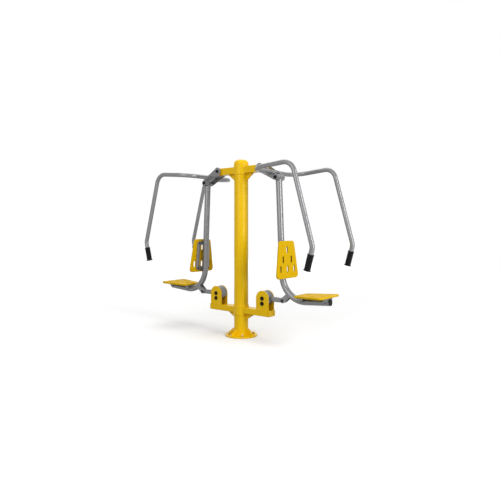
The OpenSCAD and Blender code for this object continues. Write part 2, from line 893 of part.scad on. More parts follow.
module link_hub() {
    end_angle = lift * link_ratio;
    slot_w = stop_d + 2 * slot_gap;
    silver_paint() at_point(pb) difference() {
        rotate([90, 0, 0]) rotate_extrude() {
            translate([hub_d / 2 - hub_rim, -hub_half]) square([hub_rim, 2 * hub_half]);
            translate([bush_r, -hub_web / 2]) square([hub_d / 2 - bush_r, hub_web]);
            translate([bush_r, -hub_half]) square([hub_boss_wall, 2 * hub_half]);
        }
        for (a = [0, end_angle]) rotate([0, a, 0]) translate([0, 0, -stop_drop])
            bar_y(slot_w, -hub_web, hub_web);
        rotate([90, 0, 0]) rotate([0, 0, -90 - end_angle]) translate([0, 0, -hub_web])
            rotate_extrude(angle = end_angle)
                translate([stop_drop - slot_w / 2, 0]) square([slot_w, 2 * hub_web]);
    }
}

module link_arm() {
    silver_paint() at_point(pb) rotate([0, link_angle, 0]) difference() {
        union() {
            plate_y(-link_w / 2, link_w / 2) polygon([
                [0, -link_h1 / 2], [link_len, -link_h2 / 2], [link_len, link_h2 / 2], [0, link_h1 / 2]
            ]);
            translate([link_len, 0, 0]) bar_y(eye_d, -eye_w / 2, eye_w / 2);
        }
        bar_y(hub_d, -hub_half, hub_half);
        translate([link_len, 0, 0]) bar_y(lug_bolt_d + 2 * eye_play, -eye_w, eye_w);
    }
}

module link_bushes() {
    bush_plastic() at_point(pb) both_faces() flanged_bush(hub_half);
}

base_flange();
base_ribs();
anchor_washers();
anchor_nuts();
post_tube();
top_cap();
head_sleeve();
on_side("left") crossarm();  // left_crossarm
on_side("right") crossarm();  // right_crossarm
head_gussets();
pivot_housings();
head_bushes();
beam_sleeve();
on_side("left") beam();  // left_beam
on_side("right") beam();  // right_beam
beam_covers();
beam_gussets();
on_side("left") bracket_plates();  // left_bracket_plates
on_side("right") bracket_plates();  // right_bracket_plates
link_axles();
stop_bolts();
bracket_caps();
on_side("left") lever_plates();  // left_lever_plates
on_side("left") handle();  // left_handle
on_side("left") grips();  // left_grips
on_side("left") lever_axles();  // left_lever_axles
on_side("left") lever_caps();  // left_lever_caps
on_side("left") seat_hub();  // left_seat_hub
on_side("left") seat_bushes();  // left_seat_bushes
on_side("left") seat_tube();  // left_seat_tube
on_side("left") tube_plug();  // left_tube_plug
on_side("left") lug_plates();  // left_lug_plates
on_side("left") lug_bolt();  // left_lug_bolt
on_side("left") backrest_frame();  // left_backrest_frame
on_side("left") backrest();  // left_backrest
on_side("left") seat_bars();  // left_seat_bars
on_side("left") seat_plate();  // left_seat_plate
on_side("left") plate_bolts();  // left_plate_bolts
on_side("left") link_hub();  // left_link_hub
on_side("left") link_arm();  // left_link_arm
on_side("left") link_bushes();  // left_link_bushes
on_side("right") lever_plates();  // right_lever_plates
on_side("right") handle();  // right_handle
on_side("right") grips();  // right_grips
on_side("right") lever_axles();  // right_lever_axles
on_side("right") lever_caps();  // right_lever_caps
on_side("right") seat_hub();  // right_seat_hub
on_side("right") seat_bushes();  // right_seat_bushes
on_side("right") seat_tube();  // right_seat_tube
on_side("right") tube_plug();  // right_tube_plug
on_side("right") lug_plates();  // right_lug_plates
on_side("right") lug_bolt();  // right_lug_bolt
on_side("right") backrest_frame();  // right_backrest_frame
on_side("right") backrest();  // right_backrest
on_side("right") seat_bars();  // right_seat_bars
on_side("right") seat_plate();  // right_seat_plate
on_side("right") plate_bolts();  // right_plate_bolts
on_side("right") link_hub();  // right_link_hub
on_side("right") link_arm();  // right_link_arm
on_side("right") link_bushes();  // right_link_bushes
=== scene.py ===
# %% [markdown]
# # Outdoor push chair trainer
# A post in a park carries two hanging seats. The user sits with their back to the post,
# pushes the two grips away, and a lever lifts the seat. This lesson dresses the packed
# model: every visible piece gets rounded edges, weld beads and a real finish.

import json
import math

import bmesh
import bpy
import numpy as np
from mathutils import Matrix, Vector
from mathutils.geometry import tessellate_polygon


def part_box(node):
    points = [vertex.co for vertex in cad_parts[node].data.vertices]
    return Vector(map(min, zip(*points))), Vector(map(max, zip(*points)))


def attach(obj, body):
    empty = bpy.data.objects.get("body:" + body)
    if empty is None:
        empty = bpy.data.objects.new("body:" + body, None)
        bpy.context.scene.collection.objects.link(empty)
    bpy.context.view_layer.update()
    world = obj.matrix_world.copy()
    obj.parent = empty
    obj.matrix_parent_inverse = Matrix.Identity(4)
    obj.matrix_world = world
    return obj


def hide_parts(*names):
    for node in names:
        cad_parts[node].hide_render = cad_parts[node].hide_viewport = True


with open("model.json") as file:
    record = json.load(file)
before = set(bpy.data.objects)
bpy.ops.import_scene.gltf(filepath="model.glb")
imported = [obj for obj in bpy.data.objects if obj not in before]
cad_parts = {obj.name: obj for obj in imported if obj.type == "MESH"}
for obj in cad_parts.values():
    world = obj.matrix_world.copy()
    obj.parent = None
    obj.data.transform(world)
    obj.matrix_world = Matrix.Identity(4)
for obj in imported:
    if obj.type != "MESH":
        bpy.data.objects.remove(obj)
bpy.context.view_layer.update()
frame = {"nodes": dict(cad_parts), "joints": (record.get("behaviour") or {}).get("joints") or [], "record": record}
print("frame loaded:", len(frame["nodes"]), "nodes")

# %% [markdown]
# ## Sizes
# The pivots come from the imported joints, so they can't drift from the model. The other
# sizes are the ones that the pieces were made to, in millimetres, and one factor turns
# them into Blender's metres.

# %% Pivots and driving sizes
MM = 0.001
SIDES = {"left": -1, "right": 1}
joints = {joint["name"]: joint for joint in frame["joints"]}


def middle(node):
    """Middle of a node's box, in millimetres."""
    low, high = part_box(node)
    return (np.array(low) + np.array(high)) / 2 / MM


lever_pivot = np.array(joints["right_lever_pivot"]["pos_m"]) / MM
seat_pivot = np.array(joints["right_seat_pivot"]["pos_m"]) / MM
link_pivot = np.array(joints["right_link_pivot"]["pos_m"]) / MM
lug_pivot = middle("right_lug_bolt")

post_r = 70
sleeve_r = 76
sleeve_h = 98
flange_t = 14
head_sleeve_z = 1592
beam_sleeve_z = 209
post_top = 1690
arm_z, arm_w, arm_h = 1637, 76, 70
beam_z, beam_w, beam_h, beam_half = 258, 100, 58, 370
cover_t = 8
gusset_t = 9
housing_r, housing_half = 35, 46.5
bracket_r, bracket_t, bracket_out = 73, 8, 48
lever_in, lever_out = 50, 60
handle_r = 21.2
seat_tube_r = 30.15
cross_tube = lever_pivot + [124, 0, -55]
upper_rise = math.radians(4.9)
hang_lean = math.radians(2.42)
leg_rise = math.radians(4.4)
seat_tilt = math.radians(2.6)
print("pivots in mm:", lever_pivot, seat_pivot, link_pivot, lug_pivot)

# %% [markdown]
# ## Surfaces
# Steel furniture has four kinds of shape: tubes bent along a path, turned pieces, flat
# plates with broken edges, and weld beads. Each is a grid of points that numpy works out
# at once. A shape here is a pair: its points and its faces.

# %% Grids and joins
def grid(points, closed_rows=False):
    """Quads between the rows of a grid of rings, each ring closed on itself. Open ends get a face."""
    rows, columns, _ = points.shape
    index = np.arange(rows * columns).reshape(rows, columns)
    here = index if closed_rows else index[:-1]
    there = np.roll(index, -1, 0) if closed_rows else index[1:]
    corners = [here, np.roll(here, -1, 1), np.roll(there, -1, 1), there]
    faces = np.stack(corners, -1).reshape(-1, 4).tolist()
    if not closed_rows:
        faces += [index[0].tolist(), index[-1].tolist()]
    return points.reshape(-1, 3), faces


def join(shapes):
    """One shape from several, with each one's faces counted on from the last."""
    starts = np.cumsum([0] + [len(points) for points, _ in shapes])
    faces = [[i + start for i in face] for start, (_, fs) in zip(starts, shapes) for face in fs]
    return np.concatenate([points for points, _ in shapes]), faces


def mirrored(shape, axis=1):
    """The shape's mirror image across the plane through the origin square to an axis."""
    points, faces = shape
    flip = np.ones(3)
    flip[axis] = -1
    return points * flip, faces


def both_faces(shape):
    """The shape on the -Y or +Y side together with its twin on the other side."""
    return join([shape, mirrored(shape)])


def placed(shape, origin, along_x, along_y, along_z):
    """The shape moved to an origin, with its own X, Y and Z axes laid along three directions."""
    points, faces = shape
    return points @ np.array([along_x, along_y, along_z], float) + np.array(origin, float), faces


# %% [markdown]
# ## Outlines
# A cut plate has no perfectly sharp corner. The outline of a plate is a polygon whose
# corners are arcs, and each of its points also knows which way is out, so that the edge
# of the plate can later be rolled inwards.

# %% Outlines with round corners
def round_corners(corners, radii, steps=8):
    """Points and outward normals of an anticlockwise polygon whose corners are arcs.

    Each arc's centre lies on the corner's bisector, and its ends lie where the arc
    touches the two edges. A reflex corner gets the same arc from its other side."""
    corners = np.asarray(corners, float)
    radii = np.broadcast_to(np.asarray(radii, float), len(corners))
    before = corners - np.roll(corners, 1, 0)
    after = np.roll(corners, -1, 0) - corners
    before /= np.linalg.norm(before, axis=1)[:, None]
    after /= np.linalg.norm(after, axis=1)[:, None]
    turn = np.arctan2(before[:, 0] * after[:, 1] - before[:, 1] * after[:, 0], (before * after).sum(1))
    side = np.sign(turn)
    normal = np.stack([before[:, 1], -before[:, 0]], 1)
    reach = radii * np.tan(np.abs(turn) / 2)
    centre = corners - before * reach[:, None] - normal * (side * radii)[:, None]
    share = np.linspace(0, 1, steps)[None, :] * turn[:, None]
    cos, sin = np.cos(share), np.sin(share)
    normals = np.stack([
        normal[:, 0:1] * cos - normal[:, 1:2] * sin,
        normal[:, 0:1] * sin + normal[:, 1:2] * cos,
    ], -1)
    points = centre[:, None] + normals * (side * radii)[:, None, None]
    return points.reshape(-1, 2), normals.reshape(-1, 2)


def circle(radius, centre=(0, 0), steps=48):
    """Points and outward normals of a circle."""
    angle = np.arange(steps) / steps * math.tau
    normals = np.stack([np.cos(angle), np.sin(angle)], 1)
    return np.asarray(centre, float) + radius * normals, normals


def box_outline(width, height, radius, steps=8):
    """Rectangle round the origin with round corners."""
    x, y = width / 2, height / 2
    return round_corners([[x, -y], [x, y], [-x, y], [-x, -y]], radius, steps)


def bar_outline(length, near_r, far_r, steps=24):
    """Two circles, one at the origin and one along +X, and the straight lines that touch both."""
    lean = math.acos((near_r - far_r) / length)
    far = np.linspace(-lean, lean, steps)
    near = np.linspace(lean, math.tau - lean, 2 * steps)
    angle = np.concatenate([far, near])
    normals = np.stack([np.cos(angle), np.sin(angle)], 1)
    radius = np.concatenate([np.full(steps, far_r), np.full(2 * steps, near_r)])
    centre = np.concatenate([np.full(steps, length), np.zeros(2 * steps)])
    return normals * radius[:, None] + np.stack([centre, 0 * centre], 1), normals


# %% [markdown]
# ## Plates
# A laser-cut plate is its outline carried through its thickness. The powder coat rounds
# the two rims, so the section of a rim is a quarter circle: at angle a the outline has
# moved in by e (1 - sin a), and it lies e (1 - cos a) from the face. Holes get the same
# rim, turned round, and the holes of a moulding get a larger one at the lower face.

# %% Plates with rolled rims
def rim(lower_edge, edge, thickness, steps=4):
    """Inset and height of a plate's wall from its lower face to its upper face."""
    angle = np.linspace(0, math.pi / 2, steps)
    inset, height = 1 - np.sin(angle), 1 - np.cos(angle)
    return (np.concatenate([lower_edge * inset, edge * inset[::-1]]),
            np.concatenate([lower_edge * height, thickness - edge * height[::-1]]))


def plate(outline, thickness, edge, holes=(), flare=None):
    """Plate with its lower face on the XY plane, with rolled rims outside and in its holes.

    flare is the larger roll of the holes at the lower face, where a moulding has one."""
    walls, lower, upper = [], [], []
    start = 0
    for (points, normals), inward in [(outline, -1)] + [(hole, 1) for hole in holes]:
        inset, height = rim(flare if flare and inward > 0 else edge, edge, thickness)
        rings = points[None] + inward * inset[:, None, None] * normals[None]
        heights = np.broadcast_to(height[:, None, None], (len(height), len(points), 1))
        wall, faces = grid(np.concatenate([rings, heights], 2))
        walls.append((wall, faces[:-2]))
        lower.append([(x, y, 0) for x, y in rings[0]])
        upper.append(start + (len(height) - 1) * len(points) + np.arange(len(points)))
        start += len(wall)
    points, faces = join(walls)
    triangles = np.array(tessellate_polygon(lower))
    top = np.concatenate(upper)
    sizes = [len(loop) for loop in lower]
    bottom = top - np.repeat([(len(height) - 1) * size for size in sizes], sizes)
    return points, faces + top[triangles].tolist() + bottom[triangles].tolist()


def upright_plate(outline, y0, y1, edge, holes=(), origin=(0, 0, 0), tilt=0.0):
    """Plate drawn in the XZ plane, standing from y0 to y1, turned up by a tilt about its origin."""
    shape = plate(outline, y1 - y0, edge, holes)
    along = [math.cos(tilt), 0, math.sin(tilt)]
    up = [-math.sin(tilt), 0, math.cos(tilt)]
    return placed(shape, np.array(origin, float) + [0, y0, 0], along, up, [0, 1, 0])


# %% [markdown]
# ## Turned pieces and tubes
# A turned piece is a profile spun round its axis. A tube is a circle carried along a
# path, and the path is written as a tube bender reads it: so much straight, then a bend
# of a radius, an angle and a roll.

# %% Turned pieces
def turned(radii, heights, steps=64, closed=False):
    """Profile of radii and heights spun round the Z axis. closed joins its last point to its first."""
    angle = np.arange(steps) / steps * math.tau
    radii, heights = np.asarray(radii, float), np.asarray(heights, float)
    x = radii[:, None] * np.cos(angle)
    y = radii[:, None] * np.sin(angle)
    z = np.broadcast_to(heights[:, None], x.shape)
    return grid(np.stack([x, y, z], -1), closed)


def turned_block(corners, corner_r, steps=64):
    """Closed profile, drawn anticlockwise as (radius, height) with small round corners, spun round Z."""
    points, _ = round_corners(corners, corner_r, 4)
    return turned(points[:, 0], points[:, 1], steps, closed=True)


def across(shape, origin, facing=1):
    """A turned shape with its axis laid along Y, in the given direction."""
    return placed(shape, origin, [1, 0, 0], [0, 0, -facing], [0, facing, 0])


# %% Bent tubes and weld beads
def bend_path(origin, frame_axes, steps, spacing=6.0):
    """Points and section axes along steps of (straight, bend radius, turn, roll), in degrees."""
    place = np.array(origin, float)
    u, v, z = [np.array(axis, float) for axis in frame_axes]
    rows = [(place[None], u[None], v[None])]
    roll = 0.0
    for straight, radius, turn, rolled in steps:
        roll, turn = roll + math.radians(rolled), math.radians(turn)
        pieces = max(1, round(straight / 60))
        ahead = np.linspace(0, straight, pieces + 1)[1:, None]
        rows.append((place + ahead * z, np.repeat(u[None], pieces, 0), np.repeat(v[None], pieces, 0)))
        place = place + straight * z
        if turn > 0:
            side = u * math.cos(roll) + v * math.sin(roll)
            other = v * math.cos(roll) - u * math.sin(roll)
            angle = np.linspace(0, turn, 2 + round(radius * turn / spacing))[1:, None]
            points = place + side * radius * (1 - np.cos(angle)) + z * radius * np.sin(angle)
            sides = side * np.cos(angle) - z * np.sin(angle)
            us = sides * math.cos(roll) - other * math.sin(roll)
            vs = sides * math.sin(roll) + other * math.cos(roll)
            rows.append((points, us, vs))
            place, u, v = points[-1], us[-1], vs[-1]
            z = z * math.cos(turn) + side * math.sin(turn)
    points, us, vs = [np.concatenate(parts) for parts in zip(*rows)]
    return points, us, vs, z


def tube(path, radius, sides=40):
    """Circle carried along a path, closed at both ends."""
    points, us, vs = path[:3]
    angle = np.arange(sides) / sides * math.tau
    ring = us[:, None] * np.cos(angle)[:, None] + vs[:, None] * np.sin(angle)[:, None]
    return grid(points[:, None] + np.broadcast_to(np.asarray(radius), len(points))[:, None, None] * ring)


def bead(points, radius=2.6, closed=True, sides=8):
    """Weld bead along a line of points: a small tube whose radius swells once every few millimetres."""
    points = np.asarray(points, float)
    if closed:
        points = np.concatenate([points, points[:1]])
    lengths = np.concatenate([[0], np.cumsum(np.linalg.norm(np.diff(points, axis=0), axis=1))])
    pitch = 1.3 * radius
    count = max(8, int(lengths[-1] / pitch) * 4)
    at = np.linspace(0, lengths[-1], count, endpoint=not closed)
    path = np.stack([np.interp(at, lengths, points[:, i]) for i in range(3)], 1)
    if closed:
        ahead = np.roll(path, -1, 0) - np.roll(path, 1, 0)
    else:
        ahead = np.gradient(path, axis=0)
    ahead /= np.linalg.norm(ahead, axis=1)[:, None]
    helper = np.where(np.abs(ahead[:, 2:3]) > 0.9, [[1.0, 0, 0]], [[0, 0, 1.0]])
    u = np.cross(helper, ahead)
    u /= np.linalg.norm(u, axis=1)[:, None]
    v = np.cross(ahead, u)
    ripple = radius * (1 + 0.13 * np.cos(at * math.tau / pitch))
    angle = np.arange(sides) / sides * math.tau
    ring = u[:, None] * np.cos(angle)[:, None] + v[:, None] * np.sin(angle)[:, None]
    return grid(path[:, None] + ripple[:, None, None] * ring, closed)


# %% [markdown]
# ## Materials
# Outdoor gym steel is sandblasted and powder coated. The yellow coat is glossy with a
# faint orange peel, the silver one carries fine metal flakes and is satin. The seats are
# thick moulded plates in the same yellow, and grips and caps are black.

# %% Nodes
def linear(hex_colour):
    """Scene-linear colour from an sRGB hex value."""
    values = [int(hex_colour[i:i + 2], 16) / 255 for i in (1, 3, 5)]
    return [v / 12.92 if v <= 0.04045 else ((v + 0.055) / 1.055) ** 2.4 for v in values] + [1.0]


def add(tree, kind, settings=None, links=None):
    """A new node with its settings, and its inputs fed from other nodes' outputs."""
    node = tree.nodes.new(kind)
    for name, value in (settings or {}).items():
        if isinstance(name, int) or name in node.inputs:
            node.inputs[name].default_value = value
        else:
            setattr(node, name, value)
    for name, (source, output) in (links or {}).items():
        tree.links.new(source.outputs[output], node.inputs[name])
    return node


def finish_material(name, colours, roughness, patches_mm, grain_mm, grain_depth, shader=None):
    """Surface of one base colour that varies between two shades, with a fine bump.

    patches_mm is the size of the shade's patches and of the gloss's, and grain_mm is the
    wavelength of the bump, grain_depth its height in millimetres."""
    material = bpy.data.materials.new(name)
    material.use_nodes = True
    tree = material.node_tree
    tree.nodes.clear()
    place = add(tree, "ShaderNodeTexCoord")
    patches = add(tree, "ShaderNodeTexNoise", {"Scale": 1 / (patches_mm * MM), "Detail": 3.0},
                  {"Vector": (place, "Object")})
    shade = add(tree, "ShaderNodeMix", {"data_type": "RGBA", 6: linear(colours[0]), 7: linear(colours[1])},
                {"Factor": (patches, "Fac")})
    gloss = add(tree, "ShaderNodeMapRange", {"To Min": roughness[0], "To Max": roughness[1]},
                {"Value": (patches, "Fac")})
    grain = add(tree, "ShaderNodeTexNoise", {"Scale": 1 / (grain_mm * MM), "Detail": 2.0},
                {"Vector": (place, "Object")})
    bump = add(tree, "ShaderNodeBump", {"Strength": 0.5, "Distance": grain_depth * MM},
               {"Height": (grain, "Fac")})
    surface = add(tree, "ShaderNodeBsdfPrincipled", shader or {},
                  {"Base Color": (shade, 2), "Roughness": (gloss, "Result"), "Normal": (bump, "Normal")})
    add(tree, "ShaderNodeOutputMaterial", None, {"Surface": (surface, "BSDF")})
    return material


# %% Finishes
yellow_powder = finish_material(
    "yellow_powder_coat", ("#e6b904", "#ecc007"), (0.20, 0.27), 160, 2.5, 0.05,
    {"Specular IOR Level": 0.15})
silver_powder = finish_material(
    "silver_powder_coat", ("#7a7a7c", "#828284"), (0.23, 0.28), 90, 1.5, 0.03, {"Metallic": 0.42})
seat_plastic = finish_material(
    "moulded_polyethylene", ("#d0a603", "#d5ad05"), (0.42, 0.50), 60, 1.2, 0.04,
    {"Specular IOR Level": 0.05})
grip_rubber = finish_material(
    "extruded_rubber", ("#0a0a0b", "#111112"), (0.45, 0.60), 12, 0.8, 0.05, {"Specular IOR Level": 0.1})
cap_plastic = finish_material(
    "black_nylon", ("#0c0905", "#140f08"), (0.45, 0.55), 20, 0.9, 0.03, {"Specular IOR Level": 0.12})
black_steel = finish_material(
    "black_oxide_steel", ("#121214", "#1c1c1f"), (0.32, 0.44), 8, 0.6, 0.02, {"Metallic": 0.4})
zinc_steel = finish_material(
    "yellow_zinc_plated_steel", ("#cdb56a", "#dcc684"), (0.22, 0.36), 9, 0.7, 0.02, {"Metallic": 1.0})
bush_nylon = finish_material(
    "natural_nylon", ("#cfccbe", "#d9d6c9"), (0.40, 0.50), 15, 0.9, 0.02, {"Subsurface Weight": 0.05})
finishes = {
    "yellow_paint": yellow_powder, "silver_paint": silver_powder, "seat_plastic": seat_plastic,
    "grip_rubber": grip_rubber, "black_plastic": cap_plastic, "black_steel": black_steel,
    "zinc_steel": zinc_steel, "bush_plastic": bush_nylon,
}
slot_of = {part["node"]: part["material_slot"] for part in frame["record"]["subparts"]}
for name, thing in frame["nodes"].items():
    thing.data.materials.clear()
    thing.data.materials.append(finishes[slot_of[name]])
print("finishes:", sorted(finishes))

# %% [markdown]
# ## Making a piece
# Every shape goes through one function. It merges doubled points, turns the faces out,
# shades it smooth up to an angle, hangs it on its body and puts its finish on it.

# %% Pieces
made = []


def piece(name, shape, slot_name, body, *nodes, sharp=38):
    """A finished object from a shape in millimetres, riding on a body in place of CAD nodes."""
    points, faces = shape
    mesh = bpy.data.meshes.new(name)
    mesh.from_pydata((points * MM).tolist(), [], faces)
    shell = bmesh.new()
    shell.from_mesh(mesh)
    bmesh.ops.remove_doubles(shell, verts=shell.verts, dist=1e-6)
    bmesh.ops.recalc_face_normals(shell, faces=shell.faces)
    shell.to_mesh(mesh)
    shell.free()
    mesh.shade_smooth()
    mesh.set_sharp_from_angle(angle=math.radians(sharp))
    mesh.materials.append(finishes[slot_name])
    thing = bpy.data.objects.new(name, mesh)
    bpy.context.scene.collection.objects.link(thing)
    weighted = thing.modifiers.new("even shading", "WEIGHTED_NORMAL")
    weighted.keep_sharp = True
    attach(thing, body)
    if nodes:
        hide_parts(*nodes)
    made.append(thing)
    return thing


def pair(name, shape, slot_name, body, *nodes, sharp=38):
    """The right-hand piece and its mirror image, each on its own side's body."""
    for side, sign in SIDES.items():
        own = shape if sign > 0 else mirrored(shape, 0)
        own_body = body if body == "frame" else f"{side}_{body}"
        own_nodes = [f"{side}_{node}" for node in nodes]
        piece(f"{side}_{name}", own, slot_name, own_body, *own_nodes, sharp=sharp)


# %% [markdown]
# ## Base
# A round flange lies on the ground with four foundation studs through it. Four ribs stand
# on the machine's own axes, so the capped nuts sit between them on the diagonals.

# %% Flange, ribs, nuts
flange_r, anchor_r, stud_hole_r = 158, 124, 9
rib_in, rib_reach, rib_h = 69, 150, 64
washer_r, washer_t = 17, 3
rib_angles = np.radians([0, 90, 180, 270])
quarters = np.radians([45, 135, 225, 315])


def spun(shape, angles):
    """Copies of a shape turned about the Z axis."""
    return join([placed(shape, (0, 0, 0), [math.cos(a), math.sin(a), 0],
                        [-math.sin(a), math.cos(a), 0], [0, 0, 1]) for a in angles])


anchor_holes = [circle(stud_hole_r, anchor_r * np.array([math.cos(a), math.sin(a)]), 24) for a in quarters]
piece("base_flange_plate", plate(circle(flange_r, steps=96), flange_t, edge=2.5, holes=anchor_holes),
      "yellow_paint", "frame", "base_flange")

rib_corners = [[rib_in, 0], [rib_reach, 0], [rib_reach, 9], [rib_in + 10, rib_h], [rib_in, rib_h]]
rib_outline = round_corners(rib_corners, [0.5, 1, 2, 5, 0.5])
rib = upright_plate(rib_outline, -gusset_t / 2, gusset_t / 2, edge=1.5, origin=(0, 0, flange_t))
piece("base_rib_plates", spun(rib, rib_angles), "yellow_paint", "frame", "base_ribs")

washer = plate(circle(washer_r, steps=32), washer_t, edge=0.6, holes=[circle(stud_hole_r, steps=32)])
washer = placed(washer, (anchor_r, 0, flange_t), [1, 0, 0], [0, 1, 0], [0, 0, 1])
piece("foundation_washers", spun(washer, quarters), "zinc_steel", "frame", "anchor_washers")

nut_flats, nut_h, dome_r = 24, 14, 10.5
hex_angles = np.radians([-30, 30, 90, 150, 210, 270])
hex_corners = nut_flats / 2 / math.cos(math.pi / 6) * np.stack([np.cos(hex_angles), np.sin(hex_angles)], 1)
dome_angle = np.linspace(0, math.pi / 2, 10)
nut = join([
    plate(round_corners(hex_corners, radii=1.2, steps=4), nut_h, edge=1.2),
    placed(turned(np.append(dome_r * np.cos(dome_angle[:-1]), 0), dome_r * np.sin(dome_angle), 32),
           (0, 0, nut_h - 0.2), [1, 0, 0], [0, 1, 0], [0, 0, 1]),
])
nut = placed(nut, (anchor_r, 0, flange_t + washer_t), [1, 0, 0], [0, 1, 0], [0, 0, 1])
piece("capped_nuts", spun(nut, quarters), "zinc_steel", "frame", "anchor_nuts")


def ring_line(radius, z, steps=120):
    """Circle of points round the post."""
    points, _ = circle(radius, steps=steps)
    return np.concatenate([points, np.full((steps, 1), z)], 1)


rib_side = gusset_t / 2 + 0.5
foot_line = [[post_r + 2, rib_side, flange_t], [rib_reach - 2, rib_side, flange_t]]
wall_line = [[post_r, rib_side, flange_t + 2], [post_r, rib_side, flange_t + rib_h - 4]]
rib_beads = [spun(both_faces(bead(line, radius=2.5, closed=False)), rib_angles)
             for line in (foot_line, wall_line)]
post_foot_bead = bead(ring_line(post_r + 1, flange_t + 0.5), radius=4)
piece("base_welds", join([post_foot_bead] + rib_beads), "yellow_paint", "frame")

# %% [markdown]
# ## Post, sleeves and dome
# The post is one tube. Two sleeves slide over it, at the beam and at the head, and are
# welded on. A pressed dome closes the top: its top is flat and its shoulder is a large arc.

# %% Post
post_heights = np.linspace(flange_t, post_top, 24)
piece("post_skin", turned(np.full(24, post_r), post_heights, 96), "yellow_paint", "frame", "post_tube")


def sleeve(z):
    """Ring of tube round the post, from z up."""
    top, inside = z + sleeve_h, post_r - 1
    return turned_block([[sleeve_r, z], [sleeve_r, top], [inside, top], [inside, z]], corner_r=1.5, steps=96)


piece("head_sleeve_ring", sleeve(head_sleeve_z), "yellow_paint", "frame", "head_sleeve")
piece("beam_sleeve_ring", sleeve(beam_sleeve_z), "yellow_paint", "frame", "beam_sleeve")
seams = [bead(ring_line(post_r + 2, z)) for z in (head_sleeve_z, beam_sleeve_z, beam_sleeve_z + sleeve_h)]
piece("sleeve_welds", join(seams), "yellow_paint", "frame")

cap_r, cap_h, shoulder, cap_edge, flat_r = 73, 52, 44, 2, 20
shoulder_angle = np.linspace(0, math.pi / 2, 14)
cap_radii = np.concatenate([
    [0, cap_r - cap_edge, cap_r, cap_r], cap_r - shoulder + shoulder * np.cos(shoulder_angle), [flat_r, 0]])
cap_heights = np.concatenate([
    [0, 0, cap_edge, cap_h - shoulder - 1], cap_h - shoulder + shoulder * np.sin(shoulder_angle),
    [cap_h, cap_h]])
piece("dome_cap", turned(cap_radii, post_top + cap_heights, 96), "yellow_paint", "frame", "top_cap")

# %% [markdown]
# ## Crossarms and carrier beam
# Both are rectangular tube, cut to the round of the sleeve at one end. For a point at
# (y, z) of the section, the cut lies at x = sqrt(R^2 - y^2). The crossarm's other end is
# cut to the pivot housing in the same way, about the housing's own axis.

# %% Box tubes
# A cut end reaches this far into the round that it is welded to
weld_in = 0.8


def box_tube(width, height, corner, z, start, end, rows=6):
    """Box section along X between a start and an end that are functions of the section's y and z."""
    outline, _ = box_outline(width, height, corner)
    y, up = outline[:, 0], outline[:, 1] + z
    share = np.linspace(0, 1, rows)[:, None]
    x = start(y, up) * (1 - share) + end(y, up) * share
    return grid(np.stack([x, np.broadcast_to(y, x.shape), np.broadcast_to(up, x.shape)], -1))


def at_sleeve(y, z):
    """Where the sleeve's surface lies, just inside it."""
    return np.sqrt((sleeve_r - weld_in) ** 2 - y ** 2)


def at_housing(y, z):
    """Where the pivot housing's surface lies, just inside it."""
    up = np.clip(z - lever_pivot[2], 1 - housing_r, housing_r - 1)
    return lever_pivot[0] - np.sqrt((housing_r - weld_in) ** 2 - up ** 2)


def section_line(width, height, corner, z, where, out=0.6):
    """Line of the weld round a box section's end."""
    outline, normals = box_outline(width, height, corner)
    outline = outline + out * normals
    y, up = outline[:, 0], outline[:, 1] + z
    return np.stack([where(y, up), y, up], 1)


box_corner, bore_r = 6, 17
pair("crossarm_tube", box_tube(arm_w, arm_h, box_corner, arm_z, at_sleeve, at_housing),
     "yellow_paint", "frame", "crossarm")
pair("beam_tube", box_tube(beam_w, beam_h, box_corner, beam_z, at_sleeve, lambda y, z: beam_half + 0 * y),
     "yellow_paint", "frame", "beam")
arm_welds = join([
    bead(section_line(arm_w, arm_h, box_corner, arm_z, at_sleeve)),
    bead(section_line(arm_w, arm_h, box_corner, arm_z, at_housing)),
    bead(section_line(beam_w, beam_h, box_corner, beam_z, at_sleeve)),
])
pair("box_welds", arm_welds, "yellow_paint", "frame")

housing = turned_block([[housing_r, -housing_half], [housing_r, housing_half],
                        [bore_r, housing_half], [bore_r, -housing_half]], corner_r=1.2)
housings = across(housing, lever_pivot)
piece("pivot_housing_tubes", join([housings, mirrored(housings, 0)]), "yellow_paint", "frame",
      "pivot_housings")

cover = placed(plate(box_outline(beam_w, beam_h, box_corner + 4), cover_t, edge=4.5),
               (beam_half, 0, beam_z), [0, 1, 0], [0, 0, 1], [1, 0, 0])
piece("beam_end_covers", join([cover, mirrored(cover, 0)]), "yellow_paint", "frame", "beam_covers")


def gusset(reach, top, drop):
    """Triangular plate in the plane y = 0 with its long edge running down to the post."""
    corners = [[rib_in, top - drop], [rib_in + 5.5, top - drop], [reach, top - 1],
               [reach, top + 0.5], [rib_in, top + 0.5]]
    outline = round_corners(corners, [0.5, 2, 1, 0.4, 0.4])
    return upright_plate(outline, -gusset_t / 2, gusset_t / 2, edge=1.5)


def gusset_beads(reach, top, drop):
    """The two welds on each side of a gusset: under the beam, and down the post."""
    under = [[80, rib_side, top - 0.5], [reach - 3, rib_side, top - 0.5]]
    down = [[post_r + 0.5, rib_side, top - drop + 3], [post_r + 0.5, rib_side, top - 14]]
    return both_faces(join([bead(line, radius=2.2, closed=False) for line in (under, down)]))


for name, reach, top, drop, node in (("head", 161, arm_z - arm_h / 2, 72, "head_gussets"),
                                     ("beam", 173, beam_z - beam_h / 2, 64, "beam_gussets")):
    plates = gusset(reach, top, drop)
    piece(f"{name}_gusset_plates", join([plates, mirrored(plates, 0)]), "yellow_paint", "frame", node)
    beads = gusset_beads(reach, top, drop)
    piece(f"{name}_gusset_welds", join([beads, mirrored(beads, 0)]), "yellow_paint", "frame")

# %% [markdown]
# ## Link brackets
# Two round-topped plates stand on the beam and hold the link's axle between them, with a
# stop bolt below it. Black caps hide the four bolt ends on each bracket.

